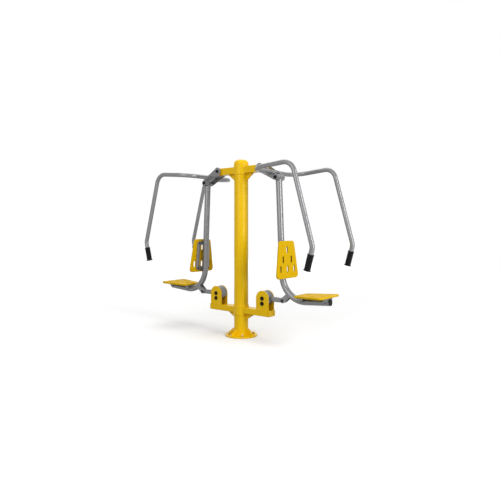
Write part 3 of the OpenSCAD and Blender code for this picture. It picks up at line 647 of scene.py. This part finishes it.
# %% Bracket plates and caps
foot_in = 1.5
stem = link_pivot[2] - (beam_z + beam_h / 2) + foot_in
top_angle = np.linspace(0, math.pi, 40)
arch = np.stack([bracket_r * np.cos(top_angle), bracket_r * np.sin(top_angle)], 1)
arch_out = arch / bracket_r
feet = np.array([[-bracket_r, -stem], [bracket_r, -stem]])
feet_out = np.array([[-1.0, 0.0], [1.0, 0.0]])
arch_outline = np.concatenate([arch, feet]), np.concatenate([arch_out, feet_out])
bracket = upright_plate(arch_outline, -bracket_out, bracket_t - bracket_out, edge=1.6, origin=link_pivot)
pair("bracket_plate_pair", both_faces(bracket), "yellow_paint", "frame", "bracket_plates")
foot_z = beam_z + beam_h / 2 + 0.5
foot_x = link_pivot[0] + np.array([2 - bracket_r, bracket_r - 2])
foot_beads = [bead([[x, y, foot_z] for x in foot_x], radius=2.4, closed=False)
              for y in (bracket_out + 0.3, bracket_out - bracket_t - 0.3)]
pair("bracket_welds", both_faces(join(foot_beads)), "yellow_paint", "frame")

stop_drop = 49
bracket_cap_r, lever_cap_r, snap_cap_h = 20, 16, 9


def snap_cap(radius, height):
    """Moulded cap: a rim, a step and a shallow dish in its top, standing up from the XY plane."""
    radii = radius * np.array([0, 1.0, 1.0, 0.97, 0.90, 0.86, 0.80, 0.70, 0.50, 0.25, 0])
    heights = height * np.array([0, 0, 0.45, 0.62, 0.70, 0.92, 1.0, 0.98, 0.90, 0.86, 0.85])
    return turned(radii, heights, 40)


bracket_caps = [across(snap_cap(bracket_cap_r, snap_cap_h), link_pivot + [0, -bracket_out, drop], -1)
                for drop in (0, -stop_drop)]
bracket_caps = both_faces(join(bracket_caps))
piece("bracket_snap_caps", join([bracket_caps, mirrored(bracket_caps, 0)]), "black_plastic", "frame",
      "bracket_caps")

# %% [markdown]
# ## Levers
# A pair of tapered plates hangs on the crossarm's axle at one end and carries the seat's
# axle at the other. The handle's cross tube passes through both plates and is welded all
# round, so the lever and the handle are one stiff piece.

# %% Lever plates
along_lever = seat_pivot - lever_pivot
lever_tilt = math.atan2(along_lever[2], along_lever[0])
lever_near_r, lever_far_r = 40, 28
lever_outline = bar_outline(float(np.linalg.norm(along_lever)), lever_near_r, lever_far_r)
lever_plate = upright_plate(lever_outline, -lever_out, -lever_in, edge=2.2, origin=lever_pivot,
                            tilt=lever_tilt)
pair("lever_plate_pair", both_faces(lever_plate), "silver_paint", "lever", "lever_plates")

lever_caps = both_faces(join([across(snap_cap(lever_cap_r, snap_cap_h), pivot + [0, -lever_out, 0], -1)
                              for pivot in (lever_pivot, seat_pivot)]))
pair("lever_snap_caps", lever_caps, "black_plastic", "lever", "lever_caps")

# %% [markdown]
# ## Handles
# One tube makes the whole handle: across through the lever, up and forward, down at the
# corner, and turned in at the elbow where the grip sits. Half of it is worked out from
# the middle of the cross tube, and the other half is its mirror image.

# %% Handle tubes
handle_half, upper_arm, long_arm, grip_arm = 352, 437, 741, 192
inner_bend, corner_bend, elbow_bend = 150, 110, 90
corner_turn, elbow_turn = 79.3, 31
corner_run = corner_bend * math.tan(math.radians(corner_turn / 2))
elbow_run = elbow_bend * math.tan(math.radians(elbow_turn / 2))
handle_steps = [
    (handle_half - inner_bend, inner_bend, 90, 0),
    (upper_arm - inner_bend - corner_run, corner_bend, corner_turn, 90),
    (long_arm - corner_run - elbow_run, elbow_bend, elbow_turn, 0),
    (grip_arm - elbow_run, 0, 0, 0),
]
forward = [math.cos(upper_rise), 0, math.sin(upper_rise)]
upward = [-math.sin(upper_rise), 0, math.cos(upper_rise)]
handle_axes = (forward, [-value for value in upward], [0, 1, 0])
half_handle = bend_path(cross_tube, handle_axes, handle_steps)
whole_handle = [np.concatenate([rows[:0:-1] * [1, -1, 1], rows]) for rows in half_handle[:3]]
pair("handle_tube", tube(whole_handle, handle_r, 36), "silver_paint", "lever", "handle")


def tube_ring(origin, radius, y, steps=64):
    """Circle round the cross tube where it meets a plate."""
    points, _ = circle(radius, steps=steps)
    return np.stack([origin[0] + points[:, 0], np.full(steps, y), origin[2] + points[:, 1]], 1)


lever_beads = join([bead(tube_ring(cross_tube, handle_r + 1, -y), radius=2.8)
                    for y in (lever_in - 0.6, lever_out + 0.6)])
pair("lever_welds", both_faces(lever_beads), "silver_paint", "lever")

# %% [markdown]
# ## Grips
# A rubber sleeve is pushed over the end of the tube. It has a collar where the hand
# starts, a flange at the end, and a moulded pattern between them: at height h and angle a
# the radius is lowered by grooves round it, cos(2 pi h / pitch), and by flutes, cos(n a).

# %% Grips
grip_len, grip_end, grip_r, grip_flange_r, grip_flange_t = 138, 5, 26.5, 32, 6
collar_out, collar_len, end_roll, top_roll, flange_slope = 1.6, 9, 1.6, 1.4, 2.2
groove_pitch, groove_depth, groove_from, flutes, flute_depth = 9.5, 0.9, 0.55, 24, 0.55
palm_start, palm_end, palm_fade = 12, 5, 3


def grip(steps=96, rows=150):
    """Rubber grip along +Z, ending grip_end past the origin, where the tube stops."""
    height = np.linspace(grip_end - grip_len, grip_end, rows)
    angle = np.arange(steps) / steps * math.tau
    from_top = height - height[0]
    collar = collar_out * np.exp(-(from_top / collar_len) ** 4)
    flange = (grip_flange_r - grip_r) / (1 + np.exp(-(height - (grip_end - grip_flange_t)) * flange_slope))
    to_flange = grip_end - grip_flange_t - palm_end - height
    palm = np.clip((from_top - palm_start) / palm_fade, 0, 1) * np.clip(to_flange / palm_fade, 0, 1)
    wave = np.cos(math.tau * from_top / groove_pitch)
    groove = groove_depth * np.clip(wave - groove_from, 0, 1) / (1 - groove_from)
    flute = flute_depth * np.clip(np.cos(flutes * angle), 0, 1)
    rolled = np.clip(1 - (grip_end - height) / end_roll, 0, 1)
    tucked = np.clip(1 - from_top / end_roll, 0, 1)
    outer = grip_r + collar + flange - end_roll * rolled ** 2 - top_roll * tucked ** 2
    radius = outer[:, None] - palm[:, None] * (groove[:, None] + flute[None, :])
    radius = np.concatenate([np.zeros((1, steps)), radius, radius[-1:] * 0.5, np.zeros((1, steps))])
    height = np.concatenate([height[:1], height, height[-1:] - 0.6, height[-1:] - 0.8])
    x, y = radius * np.cos(angle), radius * np.sin(angle)
    return grid(np.stack([x, y, np.broadcast_to(height[:, None], x.shape)], -1))


grip_origin, grip_axis = half_handle[0][-1], half_handle[3]
grip_side = np.cross([0, 1, 0], grip_axis)
grips = both_faces(placed(grip(), grip_origin, grip_side, [0, 1, 0], grip_axis))
pair("grip_sleeves", grips, "grip_rubber", "lever", "grips")

# %% [markdown]
# ## Seat hanger
# One tube hangs from the lever and bends under the seat. Its upper end is welded to a hub
# of the same diameter, so the tube's start lies at the hub's own axis. The weld follows
# the line where the two round surfaces meet: at angle t it lies R |sin t| below the axis.

# %% Seat tube and hub
hang_len, seat_bend, leg_len = 1149.7, 235, 489
seat_turn = math.pi / 2 - hang_lean + leg_rise
seat_run = seat_bend * math.tan(seat_turn / 2)
hang_out = np.array([math.cos(hang_lean), 0, math.sin(hang_lean)])
hang_up = np.array([-math.sin(hang_lean), 0, math.cos(hang_lean)])
leg_out = np.array([math.cos(leg_rise), 0, math.sin(leg_rise)])
leg_up = np.array([-math.sin(leg_rise), 0, math.cos(leg_rise)])
seat_steps = [(hang_len - seat_run, seat_bend, math.degrees(seat_turn), 0), (leg_len - seat_run, 0, 0, 0)]
seat_path = bend_path(seat_pivot, (hang_out, [0, -1, 0], -hang_up), seat_steps)
pair("seat_tube_skin", tube(seat_path, seat_tube_r, 48), "silver_paint", "seat", "seat_tube")

hub = turned_block([[seat_tube_r, -housing_half], [seat_tube_r, housing_half],
                    [bore_r, housing_half], [bore_r, -housing_half]], corner_r=1.0)
pair("seat_hub_tube", across(hub, seat_pivot), "silver_paint", "seat", "seat_hub")

saddle_angle = np.arange(96) / 96 * math.tau
saddle = (seat_pivot + (seat_tube_r + 0.5) * (np.cos(saddle_angle)[:, None] * hang_out
          + np.sin(saddle_angle)[:, None] * np.array([0, 1, 0])
          - np.abs(np.sin(saddle_angle))[:, None] * hang_up))
pair("hub_welds", bead(saddle), "silver_paint", "seat")

seat_corner = seat_pivot - hang_len * hang_up
leg_end = seat_corner + leg_len * leg_out
plug_t, plug_edge = 6, 2.5
plug_angle = np.linspace(0, math.pi / 2, 6)
plug_rim = seat_tube_r - plug_edge + plug_edge * np.cos(plug_angle)
plug_radii = np.concatenate([[0, seat_tube_r - 0.3], plug_rim, [0]])
plug_heights = np.concatenate([[-2, -2], plug_t - plug_edge + plug_edge * np.sin(plug_angle), [plug_t]])
plug = placed(turned(plug_radii, plug_heights, 48), leg_end, [0, 1, 0], leg_up, leg_out)
pair("tube_end_plug", plug, "black_plastic", "seat", "tube_plug")

# %% [markdown]
# ## Lug plates and link arm
# The seat tube's bend carries two lug plates that hold the link's eye between them. The
# link's arm is a tapered box that ends in the eye, and its hub turns in the bracket.

# %% Lugs and link
bend_reach = seat_bend / math.cos(seat_turn / 2) - seat_bend
bisector = np.array([math.sin(seat_turn / 2 + hang_lean), 0, math.cos(seat_turn / 2 + hang_lean)])
bend_middle = seat_corner + bend_reach * bisector
to_bend = bend_middle - lug_pivot
lug_r, lug_in, lug_out = 23, 20.5, 28.5
lug_length = float(np.linalg.norm(to_bend))
lug_tilt = math.atan2(to_bend[2], to_bend[0])
round_end = np.linspace(math.pi / 2, 1.5 * math.pi, 24)
lug_arc = np.stack([np.cos(round_end), np.sin(round_end)], 1)
lug_points = np.concatenate([lug_r * lug_arc, [[lug_length, -lug_r], [lug_length, lug_r]]])
lug_outline = lug_points, np.concatenate([lug_arc, [[0, -1], [0, 1]]])
lug_plate = upright_plate(lug_outline, -lug_out, -lug_in, edge=1.6, origin=lug_pivot, tilt=lug_tilt)
pair("lug_plate_pair", both_faces(lug_plate), "silver_paint", "seat", "lug_plates")

lug_bolt_r, lug_head_t, lug_washer_r, lug_washer_t = 8, 7, 13, 1.6
lug_head = plate(round_corners(hex_corners, radii=1.5, steps=4), lug_head_t, edge=1.4)
lug_washer = plate(circle(lug_washer_r, steps=32), lug_washer_t, edge=0.4)
lug_bolt = join([across(shape, lug_pivot + [0, -lug_out, 0], -1) for shape in (lug_head, lug_washer)])
shank = turned([0, lug_bolt_r, lug_bolt_r, 0], [-lug_out, -lug_out, lug_out, lug_out], 32)
shank = across(shank, lug_pivot)
pair("lug_hex_bolt", join([both_faces(lug_bolt), shank]), "black_steel", "seat", "lug_bolt")

link_length = float(np.linalg.norm(lug_pivot - link_pivot))
link_tilt = math.atan2(lug_pivot[2] - link_pivot[2], lug_pivot[0] - link_pivot[0])
arm_start, arm_end, arm_side, near_half, far_half = 66, link_length - 6, 18, 24, 19
eye_r, eye_half, eye_bore = 23, 20, 11
root_half, tip_half = near_half + (far_half - near_half) * np.array([arm_start, arm_end]) / link_length
arm_corners = [[arm_start, -root_half], [arm_end, -tip_half], [arm_end, tip_half], [arm_start, root_half]]
arm_outline = round_corners(arm_corners, radii=1.0, steps=4)
link_arm = upright_plate(arm_outline, -arm_side, arm_side, edge=4.0, origin=link_pivot, tilt=link_tilt)
eye_corners = [[eye_r, -eye_half], [eye_r, eye_half], [eye_bore, eye_half], [eye_bore, -eye_half]]
link_eye = across(turned_block(eye_corners, corner_r=1.5), lug_pivot)
pair("link_arm_box", join([link_arm, link_eye]), "silver_paint", "link", "link_arm")

# %% [markdown]
# ## Seat and backrest
# Both are the same thick moulded plate: a trapezium with round corners and six drain
# slots in rows of one, two and three, which open wider to the back. The seat's plate is a
# little shorter. A frame of flat bar behind the backrest stands off the tube on two
# blocks, and the seat rests on two cross bars.

# %% Plates for the user
# The plate, its slots, the backrest's frame, the seat's place and its cross bars
plate_t, plate_len, plate_narrow, plate_wide, plate_corner, plate_edge = 19, 345, 232, 355, 36, 5
slot_pitch, slot_mid, slot_far, slot_w, slot_len, slot_flare = 88, 66, 108, 24, 62, 12
back_drop, back_off, frame_t, frame_bar, back_rail = 763, 47, 14, 38, 133
frame_mid, frame_taper, loop_corner, loop_inner, block_in = 92, 0.15, 34.2, 13.3, 10
seat_len, seat_out, seat_off = 312, 343, 41
bar_out, bar_w, bar_h, bar_half, bolt_side = 122, 40, 35, 52, 41


def slot(x, y):
    """Upright slot with round ends."""
    points, normals = box_outline(slot_w, slot_len, radius=slot_w / 2 - 0.01, steps=12)
    return points + [x, y], normals


def user_plate(length):
    """Seat or backrest plate in the XY plane, narrow end up."""
    corners = [[-plate_wide / 2, -length / 2], [plate_wide / 2, -length / 2],
               [plate_narrow / 2, length / 2], [-plate_narrow / 2, length / 2]]
    row = slot_pitch * length / plate_len
    places = [(0, row), (-slot_mid, 0), (slot_mid, 0), (-slot_far, -row), (0, -row), (slot_far, -row)]
    slots = [slot(x, y) for x, y in places]
    return plate(round_corners(corners, plate_corner, steps=14), plate_t, plate_edge, slots, slot_flare)


def frame_half(z):
    """Half width of the backrest frame at a height above its middle."""
    return frame_mid - z * (plate_wide - plate_narrow) / 2 / plate_len * frame_taper


back_middle = seat_pivot - back_drop * hang_up
seat_along = np.array([math.cos(seat_tilt), 0, math.sin(seat_tilt)])
seat_up = np.array([-math.sin(seat_tilt), 0, math.cos(seat_tilt)])
seat_middle = seat_corner + seat_out * leg_out + seat_off * leg_up
sideways = np.array([0.0, 1.0, 0.0])

backrest = placed(user_plate(plate_len), back_middle + back_off * hang_out, sideways, hang_up, hang_out)
pair("backrest_moulding", backrest, "seat_plastic", "seat", "backrest")
seat = placed(user_plate(seat_len), seat_middle, sideways, -seat_along, seat_up)
pair("seat_moulding", seat, "seat_plastic", "seat", "seat_plate")

frame_end = back_rail + frame_bar / 2
wide, narrow = frame_half(-frame_end), frame_half(frame_end)
loop = round_corners([[-wide, -frame_end], [wide, -frame_end], [narrow, frame_end], [-narrow, frame_end]],
                     loop_corner, steps=10)
inner_end = frame_end - frame_bar
inner = round_corners([[frame_bar - wide, -inner_end], [wide - frame_bar, -inner_end],
                       [narrow - frame_bar, inner_end], [frame_bar - narrow, inner_end]],
                      loop_inner, steps=8)
back_frame = placed(plate(loop, frame_t, edge=3.0, holes=[inner]),
                    back_middle + (back_off - frame_t) * hang_out, sideways, hang_up, hang_out)
block = plate(box_outline(frame_bar, frame_bar, radius=3), back_off - frame_t - block_in, edge=1.5)
blocks = [placed(block, back_middle + block_in * hang_out + z * hang_up, sideways, hang_up, hang_out)
          for z in (-back_rail, back_rail)]
pair("backrest_loop", join([back_frame] + blocks), "silver_paint", "seat", "backrest_frame")

bar = plate(box_outline(bar_w, bar_h, radius=4), 2 * bar_half, edge=1.5)
bars = [placed(bar, seat_middle + x * seat_along - bar_h / 2 * seat_up - bar_half * sideways,
               seat_along, seat_up, sideways) for x in (-bar_out, bar_out)]
pair("seat_cross_bars", join(bars), "silver_paint", "seat", "seat_bars")

# %% [markdown]
# ## Plate bolts
# Domed yellow caps hide the bolt heads on the user's side, and black nuts show behind.

# %% Bolt caps and nuts
back_places = [(s * (frame_half(t * back_rail) - frame_bar / 2), t * back_rail)
               for s in (-1, 1) for t in (-1, 1)]
seat_places = [(x, y) for x in (-bar_out, bar_out) for y in (-bolt_side, bolt_side)]
head_r, head_h, small_nut_t, small_nut_share = 8, 3.5, 6, 0.62
head_angle = np.linspace(0, math.pi / 2, 8)
bolt_cap = turned(np.append(head_r * np.cos(head_angle[:-1]), 0), head_h * np.sin(head_angle), 24)
small_nut = plate(round_corners(hex_corners * small_nut_share, radii=0.8, steps=3), small_nut_t, edge=0.8)
caps, nuts = [], []
for side, up in back_places:
    spot = back_middle + side * sideways + up * hang_up
    caps.append(placed(bolt_cap, spot + (back_off + plate_t) * hang_out, sideways, hang_up, hang_out))
    behind = spot + (back_off - frame_t - small_nut_t) * hang_out
    nuts.append(placed(small_nut, behind, sideways, hang_up, hang_out))
for along, side in seat_places:
    spot = seat_middle + along * seat_along + side * sideways
    caps.append(placed(bolt_cap, spot + plate_t * seat_up, seat_along, sideways, seat_up))
    nuts.append(placed(small_nut, spot - (bar_h + small_nut_t) * seat_up, seat_along, sideways, seat_up))
pair("bolt_caps", join(caps), "seat_plastic", "seat", "plate_bolts")
pair("bolt_nuts", join(nuts), "black_steel", "seat")
print("pieces made:", len(made))

# %% [markdown]
# ## Studio
# The machine stands on a pale floor that fades into a white backdrop, and the paper sends
# little light back up. A tall soft box to the right of the camera gives each tube its long
# highlight, a second one hangs above, a third stands front left, and a weak white sky fills
# the rest. The camera's height, distance and lens put the machine's edges where the
# photograph has them.

# %% Floor and sky
def background_rays(tree):
    """1 for rays that look at the background: from the camera, by reflection or through glass."""
    rays = add(tree, "ShaderNodeLightPath")
    seen = add(tree, "ShaderNodeMath", {"operation": "MAXIMUM"},
               {0: (rays, "Is Camera Ray"), 1: (rays, "Is Transmission Ray")})
    return add(tree, "ShaderNodeMath", {"operation": "MAXIMUM"},
               {0: (seen, "Value"), 1: (rays, "Is Glossy Ray")})


def floor_material():
    """Matt paper that keeps the cast shadow near the machine, with a painted glow for the rays that look at the
    background which grows away from darkest_place, so the floor is painted darker round the machine and looks
    plain white far out.
    """
    darkest_place = (0.08, 0.45, 0.0)
    under_light, when_seen = linear("#8a8988"), linear("#f7f7f7")
    material = bpy.data.materials.new("studio_paper")
    material.use_nodes = True
    tree = material.node_tree
    tree.nodes.clear()
    place = add(tree, "ShaderNodeTexCoord")
    # Painted glow: weakest at darkest_place and stronger further out, so the floor is painted darker round the
    # machine
    reach = add(tree, "ShaderNodeVectorMath", {"operation": "DISTANCE", 1: darkest_place},
                {0: (place, "Object")})
    near = add(tree, "ShaderNodeMapRange",
               {"From Min": 0.7, "From Max": 3.0, "To Min": 0.02, "To Max": 0.28},
               {"Value": (reach, "Value")})
    far = add(tree, "ShaderNodeMapRange",
              {"From Min": 3.0, "From Max": 7.0, "To Min": 0.0, "To Max": 0.35},
              {"Value": (reach, "Value")})
    lift = add(tree, "ShaderNodeMath", {"operation": "ADD"}, {0: (near, "Result"), 1: (far, "Result")})
    seen_lift = add(tree, "ShaderNodeMath", {"operation": "MULTIPLY"},
                    {0: (lift, "Value"), 1: (background_rays(tree), "Value")})
    shade = add(tree, "ShaderNodeMix", {"data_type": "RGBA", 6: under_light, 7: when_seen},
                {"Factor": (background_rays(tree), "Value")})
    paper = add(tree, "ShaderNodeBsdfDiffuse", None, {"Color": (shade, 2)})
    glow = add(tree, "ShaderNodeEmission", {"Color": (1, 1, 1, 1)}, {"Strength": (seen_lift, "Value")})
    both = add(tree, "ShaderNodeAddShader", None, {0: (paper, "BSDF"), 1: (glow, "Emission")})
    add(tree, "ShaderNodeOutputMaterial", None, {"Surface": (both, "Shader")})
    return material


floor_half = 9.0
floor_corners = [(x * floor_half, y * floor_half, 0) for x, y in ((-1, -1), (1, -1), (1, 1), (-1, 1))]
floor_mesh = bpy.data.meshes.new("studio_floor")
floor_mesh.from_pydata(floor_corners, [], [[0, 1, 2, 3]])
floor_mesh.materials.append(floor_material())
floor = bpy.data.objects.new("studio_floor", floor_mesh)
bpy.context.scene.collection.objects.link(floor)

sky_fill, sky_seen = 0.58, 1.0
world = bpy.data.worlds.new("studio_sky")
world.use_nodes = True
bpy.context.scene.world = world
sky = world.node_tree
sky.nodes.clear()
fill = add(sky, "ShaderNodeBackground", {"Color": (1, 1, 1, 1), "Strength": sky_fill})
white = add(sky, "ShaderNodeBackground", {"Color": (1, 1, 1, 1), "Strength": sky_seen})
both = add(sky, "ShaderNodeMixShader", None,
           {"Fac": (background_rays(sky), "Value"), 1: (fill, "Background"), 2: (white, "Background")})
add(sky, "ShaderNodeOutputWorld", None, {"Surface": (both, "Shader")})

# %% [markdown]
# ## Lamps and camera
# A lamp is placed by the angle it stands at round the machine, counted from the camera,
# because that is how a photographer would say it.

# %% Lamps and camera
camera_turn = 0.6901
camera_distance, camera_height = 4.6832, 1.0633
focal_px, centre_px, frame_px, sensor_mm = 471.735, (241.20, 228.16), 500, 36


def from_camera(turn_degrees, distance, height):
    """Point round the machine, at an angle to the right of the camera."""
    turn = camera_turn + math.radians(turn_degrees)
    return np.array([math.sin(turn) * distance, -math.cos(turn) * distance, height])


def aimed(thing, place, target):
    """Stands a lamp or camera at a place, looking at a target."""
    thing.location = place
    direction = Vector(np.asarray(target, float) - np.asarray(place, float))
    thing.rotation_euler = direction.to_track_quat("-Z", "Y").to_euler()
    bpy.context.scene.collection.objects.link(thing)


lamp_target = (0, 0, 0.9)
for name, turn, distance, height, width, tall, watts in (
        ("tall_soft_box", 45, 4.2, 1.9, 0.8, 3.2, 115),
        ("top_soft_box", 180, 0.9, 3.8, 2.6, 2.6, 42),
        ("front_soft_box", -35, 3.4, 2.2, 2.4, 2.4, 46)):
    lamp = bpy.data.lights.new(name, "AREA")
    lamp.shape, lamp.size, lamp.size_y, lamp.energy = "RECTANGLE", width, tall, watts
    aimed(bpy.data.objects.new(name, lamp), from_camera(turn, distance, height), lamp_target)

lens = bpy.data.cameras.new("camera")
lens.sensor_width = sensor_mm
lens.lens = focal_px / frame_px * sensor_mm
lens.shift_x = (frame_px / 2 - centre_px[0]) / frame_px
lens.shift_y = -(frame_px / 2 - centre_px[1]) / frame_px
camera = bpy.data.objects.new("camera", lens)
camera_place = from_camera(0, camera_distance, camera_height)
aimed(camera, camera_place, (0, 0, camera_height))
bpy.context.scene.camera = camera
bpy.context.scene.view_settings.view_transform = "Standard"
